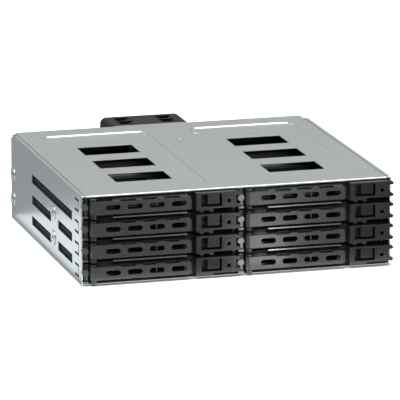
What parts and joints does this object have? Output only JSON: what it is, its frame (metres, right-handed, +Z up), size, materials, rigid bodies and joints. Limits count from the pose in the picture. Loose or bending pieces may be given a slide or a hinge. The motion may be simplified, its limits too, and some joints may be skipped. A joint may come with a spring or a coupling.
{
  "type": "hot swap drive cage",
  "caption": "Half-height bay cage of folded sheet metal with rows of slim drive trays on slides, vented swing-out levers, release buttons, a backplane and a rear fan.",
  "frame": {"origin": "centre of the chassis base's underside", "axes": "+X to the right seen from the front, +Y to the rear along the trays' slides, +Z up"},
  "size_m": [0.147, 0.1648, 0.0415],
  "materials": {
    "steel": "satin",
    "black_plastic": "matte",
    "button_plastic": "matte",
    "light_pipe": "clear gloss",
    "circuit_board": "solder mask",
    "connector": "moulded",
    "fan_plastic": "matte",
    "screw_steel": "plated"
  },
  "bodies": {
    "cage": {"chassis": "steel", "cover": "steel", "cover_rivets": "screw_steel", "divider": "steel", "rear_panel": "steel", "backplane": "circuit_board", "drive_connectors": "connector", "data_ports": "connector", "power_ports": "connector", "standoffs": "screw_steel", "fan_bracket": "steel", "fan_frame": "fan_plastic", "fan_screws": "screw_steel", "shelf_l1": "steel", "shelf_l2": "steel", "shelf_l3": "steel", "shelf_r1": "steel", "shelf_r2": "steel", "shelf_r3": "steel"},
    "fan_rotor": {"fan_impeller": "fan_plastic"},
    "tray_l1": {"carrier_l1": "black_plastic", "bezel_l1": "black_plastic", "pipe_l1": "light_pipe"},
    "handle_l1": {"lever_l1": "black_plastic"},
    "release_l1": {"button_l1": "button_plastic"},
    "tray_l2": {"carrier_l2": "black_plastic", "bezel_l2": "black_plastic", "pipe_l2": "light_pipe"},
    "handle_l2": {"lever_l2": "black_plastic"},
    "release_l2": {"button_l2": "button_plastic"},
    "tray_l3": {"carrier_l3": "black_plastic", "bezel_l3": "black_plastic", "pipe_l3": "light_pipe"},
    "handle_l3": {"lever_l3": "black_plastic"},
    "release_l3": {"button_l3": "button_plastic"},
    "tray_l4": {"carrier_l4": "black_plastic", "bezel_l4": "black_plastic", "pipe_l4": "light_pipe"},
    "handle_l4": {"lever_l4": "black_plastic"},
    "release_l4": {"button_l4": "button_plastic"},
    "tray_r1": {"carrier_r1": "black_plastic", "bezel_r1": "black_plastic", "pipe_r1": "light_pipe"},
    "handle_r1": {"lever_r1": "black_plastic"},
    "release_r1": {"button_r1": "button_plastic"},
    "tray_r2": {"carrier_r2": "black_plastic", "bezel_r2": "black_plastic", "pipe_r2": "light_pipe"},
    "handle_r2": {"lever_r2": "black_plastic"},
    "release_r2": {"button_r2": "button_plastic"},
    "tray_r3": {"carrier_r3": "black_plastic", "bezel_r3": "black_plastic", "pipe_r3": "light_pipe"},
    "handle_r3": {"lever_r3": "black_plastic"},
    "release_r3": {"button_r3": "button_plastic"},
    "tray_r4": {"carrier_r4": "black_plastic", "bezel_r4": "black_plastic", "pipe_r4": "light_pipe"},
    "handle_r4": {"lever_r4": "black_plastic"},
    "release_r4": {"button_r4": "button_plastic"}
  },
  "joints": [
    {"name": "fan", "type": "hinge", "parent": "cage", "child": "fan_rotor", "pos_m": [-0.003, 0.08175, 0.02065], "axis": [0, 1, 0], "continuous": true},
    {"name": "tray_l1", "type": "slide", "parent": "cage", "child": "tray_l1", "axis": [0, -1, 0], "range_m": [0, 0.125]},
    {"name": "lever_l1", "type": "hinge", "parent": "tray_l1", "child": "handle_l1", "pos_m": [-0.0678, -0.06935, 0.0058], "axis": [0, 0, -1], "range_deg": [0, 80]},
    {"name": "button_l1", "type": "slide", "parent": "tray_l1", "child": "release_l1", "axis": [0, 1, 0], "range_m": [0, 0.0012], "stiffness_N_per_m": 800},
    {"name": "tray_l2", "type": "slide", "parent": "cage", "child": "tray_l2", "axis": [0, -1, 0], "range_m": [0, 0.125]},
    {"name": "lever_l2", "type": "hinge", "parent": "tray_l2", "child": "handle_l2", "pos_m": [-0.0678, -0.06935, 0.01588], "axis": [0, 0, -1], "range_deg": [0, 80]},
    {"name": "button_l2", "type": "slide", "parent": "tray_l2", "child": "release_l2", "axis": [0, 1, 0], "range_m": [0, 0.0012], "stiffness_N_per_m": 800},
    {"name": "tray_l3", "type": "slide", "parent": "cage", "child": "tray_l3", "axis": [0, -1, 0], "range_m": [0, 0.125]},
    {"name": "lever_l3", "type": "hinge", "parent": "tray_l3", "child": "handle_l3", "pos_m": [-0.0678, -0.06935, 0.02595], "axis": [0, 0, -1], "range_deg": [0, 80]},
    {"name": "button_l3", "type": "slide", "parent": "tray_l3", "child": "release_l3", "axis": [0, 1, 0], "range_m": [0, 0.0012], "stiffness_N_per_m": 800},
    {"name": "tray_l4", "type": "slide", "parent": "cage", "child": "tray_l4", "axis": [0, -1, 0], "range_m": [0, 0.125]},
    {"name": "lever_l4", "type": "hinge", "parent": "tray_l4", "child": "handle_l4", "pos_m": [-0.0678, -0.06935, 0.03603], "axis": [0, 0, -1], "range_deg": [0, 80]},
    {"name": "button_l4", "type": "slide", "parent": "tray_l4", "child": "release_l4", "axis": [0, 1, 0], "range_m": [0, 0.0012], "stiffness_N_per_m": 800},
    {"name": "tray_r1", "type": "slide", "parent": "cage", "child": "tray_r1", "axis": [0, -1, 0], "range_m": [0, 0.125]},
    {"name": "lever_r1", "type": "hinge", "parent": "tray_r1", "child": "handle_r1", "pos_m": [0.005, -0.06935, 0.0058], "axis": [0, 0, -1], "range_deg": [0, 80]},
    {"name": "button_r1", "type": "slide", "parent": "tray_r1", "child": "release_r1", "axis": [0, 1, 0], "range_m": [0, 0.0012], "stiffness_N_per_m": 800},
    {"name": "tray_r2", "type": "slide", "parent": "cage", "child": "tray_r2", "axis": [0, -1, 0], "range_m": [0, 0.125]},
    {"name": "lever_r2", "type": "hinge", "parent": "tray_r2", "child": "handle_r2", "pos_m": [0.005, -0.06935, 0.01588], "axis": [0, 0, -1], "range_deg": [0, 80]},
    {"name": "button_r2", "type": "slide", "parent": "tray_r2", "child": "release_r2", "axis": [0, 1, 0], "range_m": [0, 0.0012], "stiffness_N_per_m": 800},
    {"name": "tray_r3", "type": "slide", "parent": "cage", "child": "tray_r3", "axis": [0, -1, 0], "range_m": [0, 0.125]},
    {"name": "lever_r3", "type": "hinge", "parent": "tray_r3", "child": "handle_r3", "pos_m": [0.005, -0.06935, 0.02595], "axis": [0, 0, -1], "range_deg": [0, 80]},
    {"name": "button_r3", "type": "slide", "parent": "tray_r3", "child": "release_r3", "axis": [0, 1, 0], "range_m": [0, 0.0012], "stiffness_N_per_m": 800},
    {"name": "tray_r4", "type": "slide", "parent": "cage", "child": "tray_r4", "axis": [0, -1, 0], "range_m": [0, 0.125]},
    {"name": "lever_r4", "type": "hinge", "parent": "tray_r4", "child": "handle_r4", "pos_m": [0.005, -0.06935, 0.03603], "axis": [0, 0, -1], "range_deg": [0, 80]},
    {"name": "button_r4", "type": "slide", "parent": "tray_r4", "child": "release_r4", "axis": [0, 1, 0], "range_m": [0, 0.0012], "stiffness_N_per_m": 800}
  ]
}
